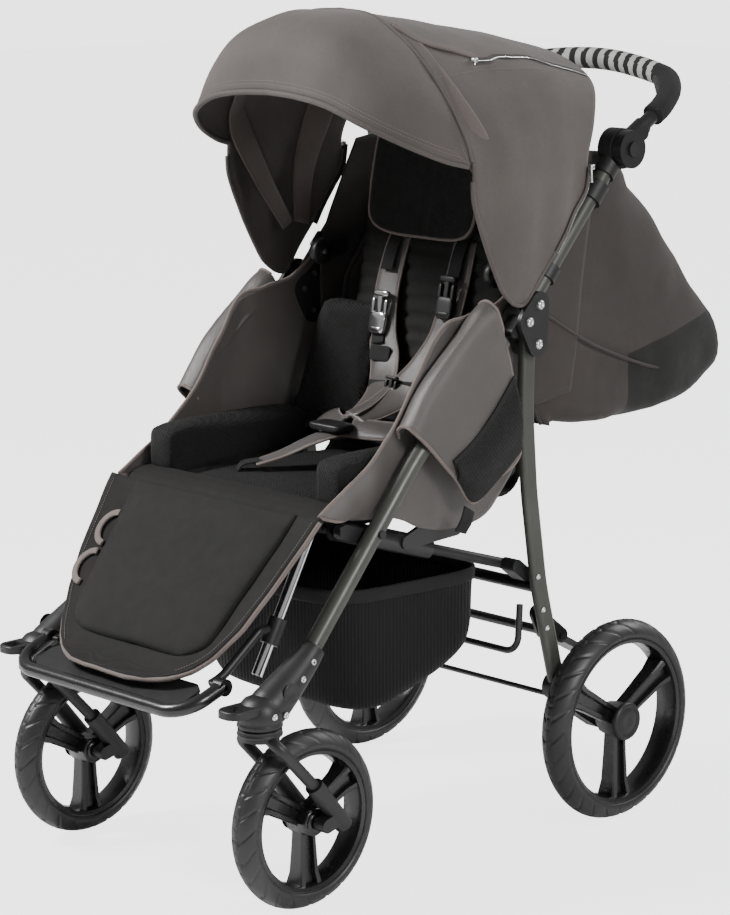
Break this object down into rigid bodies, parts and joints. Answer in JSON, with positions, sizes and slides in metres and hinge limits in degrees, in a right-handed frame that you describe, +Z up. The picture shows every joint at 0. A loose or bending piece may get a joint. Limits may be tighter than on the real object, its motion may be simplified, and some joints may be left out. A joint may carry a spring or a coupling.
{
  "type": "folding push chair",
  "caption": "Folding four-wheel push chair: swivelling front castors, reclining padded seat with hood, leg rest and foot bar, tilting handle, brake and net basket.",
  "frame": {"origin": "floor under the middle of the whole object's length and width", "axes": "+Z up, front towards -Y, +X to the child's left"},
  "size_m": [0.592, 1.17, 1.2174],
  "materials": {
    "frame_tube": "satin dark grey green metallic paint",
    "black_plastic": "moulded, fine spark texture",
    "black_tube": "black powder coat",
    "chrome_tube": "polished",
    "screws": "bright zinc",
    "tyre": "moulded, grooved",
    "rim": "semi gloss moulded",
    "foam_grip": "closed cell foam with grey bands",
    "grey_fabric": "woven taupe polyester",
    "dark_fabric": "woven dark taupe polyester",
    "black_fabric": "quilted black polyester",
    "black_mesh": "spacer mesh"
  },
  "bodies": {
    "main_frame": {"front_leg_left": "frame_tube", "front_leg_right": "frame_tube", "pivot_plates": "black_plastic", "plate_pins": "screws", "leg_bridges": "black_plastic", "castor_housing_left": "black_plastic", "castor_housing_right": "black_plastic", "seat_frame": "black_tube", "seat_brackets": "black_plastic", "seat_base": "black_fabric", "seat_cushion": "black_mesh", "hip_bolsters": "black_mesh", "side_panel_left": "grey_fabric", "side_panel_right": "grey_fabric", "basket": "black_fabric", "crotch_strap": "grey_fabric"},
    "handle_frame": {"handle_tube_left": "frame_tube", "handle_tube_right": "frame_tube", "adjuster_bases": "black_plastic", "canopy_mounts": "black_plastic", "rear_pouch": "dark_fabric"},
    "canopy_base": {"canopy_main": "grey_fabric"},
    "canopy_hood": {"canopy_visor": "grey_fabric", "canopy_bows": "black_plastic"},
    "handle_grip_bar": {"handle_bar": "black_tube", "handle_grip": "foam_grip"},
    "rear_frame": {"rear_leg_left": "frame_tube", "rear_leg_right": "frame_tube", "axle_blocks": "black_plastic", "rear_bars": "black_tube", "rear_axle_rod": "black_tube"},
    "brake": {"brake_bar": "black_tube"},
    "brace": {"fold_braces": "black_plastic"},
    "back_hinge": {"back_brackets": "black_plastic"},
    "backrest": {"back_panel": "black_fabric", "back_cushion": "black_fabric", "back_bolsters": "black_mesh", "headrest": "black_mesh", "harness": "grey_fabric"},
    "legrest": {"shin_tubes": "chrome_tube", "calf_pad": "black_fabric"},
    "footrest": {"foot_clamps": "black_plastic"},
    "foot_loop": {"foot_bar": "black_tube", "foot_plate": "black_plastic"},
    "button_left": {"adjust_button_left": "black_plastic"},
    "trigger_left": {"fold_trigger_left": "black_plastic"},
    "lock_left": {"swivel_lock_left": "black_plastic"},
    "castor_left": {"castor_fork_left": "black_plastic"},
    "front_wheel_left": {"front_tyre_left": "tyre", "front_rim_left": "rim"},
    "rear_wheel_left": {"rear_tyre_left": "tyre", "rear_rim_left": "rim"},
    "button_right": {"adjust_button_right": "black_plastic"},
    "trigger_right": {"fold_trigger_right": "black_plastic"},
    "lock_right": {"swivel_lock_right": "black_plastic"},
    "castor_right": {"castor_fork_right": "black_plastic"},
    "front_wheel_right": {"front_tyre_right": "tyre", "front_rim_right": "rim"},
    "rear_wheel_right": {"rear_tyre_right": "tyre", "rear_rim_right": "rim"}
  },
  "joints": [
    {"name": "handle_fold", "type": "hinge", "parent": "main_frame", "child": "handle_frame", "pos_m": [0, 0.045, 0.797], "axis": [1, 0, 0], "range_deg": [0, 134], "deforming": ["rear_pouch", "side_panel_left", "side_panel_right", "basket", "back_panel", "back_cushion", "back_bolsters", "headrest", "harness", "calf_pad", "hip_bolsters"]},
    {"name": "rear_leg_fold", "type": "hinge", "parent": "main_frame", "child": "rear_frame", "pos_m": [0, 0.042, 0.74], "axis": [1, 0, 0], "range_deg": [-29, 0]},
    {"name": "brace_slide", "type": "slide", "parent": "main_frame", "child": "brace", "axis": [0, -0.9562, 0.2926], "range_m": [0, 0.146]},
    {"name": "back_fold", "type": "hinge", "parent": "main_frame", "child": "back_hinge", "pos_m": [0, 0.037, 0.552], "axis": [1, 0, 0], "range_deg": [0, 89]},
    {"name": "backrest_recline", "type": "hinge", "parent": "back_hinge", "child": "backrest", "pos_m": [0, 0.037, 0.552], "axis": [1, 0, 0], "range_deg": [-38, 0]},
    {"name": "canopy_tuck", "type": "hinge", "parent": "handle_frame", "child": "canopy_base", "pos_m": [0, 0.03, 0.835], "axis": [1, 0, 0], "range_deg": [-90, 0]},
    {"name": "canopy_fold", "type": "hinge", "parent": "canopy_base", "child": "canopy_hood", "pos_m": [0, 0.03, 0.835], "axis": [1, 0, 0], "range_deg": [-50, 0], "deforming": ["canopy_main", "canopy_visor"]},
    {"name": "handle_angle", "type": "hinge", "parent": "handle_frame", "child": "handle_grip_bar", "pos_m": [0, 0.234, 1.007], "axis": [1, 0, 0], "range_deg": [-45, 45]},
    {"name": "legrest_lift", "type": "hinge", "parent": "main_frame", "child": "legrest", "pos_m": [0, -0.317, 0.515], "axis": [1, 0, 0], "range_deg": [-45, 0]},
    {"name": "footrest_slide", "type": "slide", "parent": "legrest", "child": "footrest", "axis": [0, 0.4772, 0.8788], "range_m": [0, 0.05]},
    {"name": "foot_bar_tip", "type": "hinge", "parent": "footrest", "child": "foot_loop", "pos_m": [0, -0.507, 0.324], "axis": [1, 0, 0], "range_deg": [-60, 0]},
    {"name": "brake_press", "type": "hinge", "parent": "rear_frame", "child": "brake", "pos_m": [0, 0.14, 0.285], "axis": [1, 0, 0], "range_deg": [-20, 0]},
    {"name": "adjust_button_left_press", "type": "slide", "parent": "handle_grip_bar", "child": "button_left", "axis": [-1, 0, 0], "range_m": [0, 0.003], "stiffness_N_per_m": 1500},
    {"name": "fold_trigger_left_pull", "type": "slide", "parent": "handle_frame", "child": "trigger_left", "axis": [0, 0.669, 0.7433], "range_m": [0, 0.008], "stiffness_N_per_m": 900},
    {"name": "swivel_lock_left_tilt", "type": "hinge", "parent": "main_frame", "child": "lock_left", "pos_m": [0.2385, -0.498, 0.303], "axis": [1, 0, 0], "range_deg": [0, 18]},
    {"name": "castor_swivel_left", "type": "hinge", "parent": "main_frame", "child": "castor_left", "pos_m": [0.2385, -0.485, 0.27], "axis": [0, 0, 1], "continuous": true},
    {"name": "front_wheel_spin_left", "type": "hinge", "parent": "castor_left", "child": "front_wheel_left", "pos_m": [0.2385, -0.405, 0.127], "axis": [1, 0, 0], "continuous": true},
    {"name": "rear_wheel_spin_left", "type": "hinge", "parent": "rear_frame", "child": "rear_wheel_left", "pos_m": [0.27, 0.208, 0.1525], "axis": [1, 0, 0], "continuous": true},
    {"name": "adjust_button_right_press", "type": "slide", "parent": "handle_grip_bar", "child": "button_right", "axis": [1, 0, 0], "range_m": [0, 0.003], "stiffness_N_per_m": 1500},
    {"name": "fold_trigger_right_pull", "type": "slide", "parent": "handle_frame", "child": "trigger_right", "axis": [0, 0.669, 0.7433], "range_m": [0, 0.008], "stiffness_N_per_m": 900},
    {"name": "swivel_lock_right_tilt", "type": "hinge", "parent": "main_frame", "child": "lock_right", "pos_m": [-0.2385, -0.498, 0.303], "axis": [1, 0, 0], "range_deg": [0, 18]},
    {"name": "castor_swivel_right", "type": "hinge", "parent": "main_frame", "child": "castor_right", "pos_m": [-0.2385, -0.485, 0.27], "axis": [0, 0, 1], "continuous": true},
    {"name": "front_wheel_spin_right", "type": "hinge", "parent": "castor_right", "child": "front_wheel_right", "pos_m": [-0.2385, -0.405, 0.127], "axis": [1, 0, 0], "continuous": true},
    {"name": "rear_wheel_spin_right", "type": "hinge", "parent": "rear_frame", "child": "rear_wheel_right", "pos_m": [-0.27, 0.208, 0.1525], "axis": [1, 0, 0], "continuous": true}
  ],
  "couplings": [
    {"joint": "rear_leg_fold", "follows": "handle_fold", "ratio": -0.21642},
    {"joint": "brace_slide", "follows": "handle_fold", "m_per_rad": 0.062427},
    {"joint": "back_fold", "follows": "handle_fold", "ratio": 0.66418},
    {"joint": "canopy_tuck", "follows": "handle_fold", "ratio": -0.67164}
  ]
}
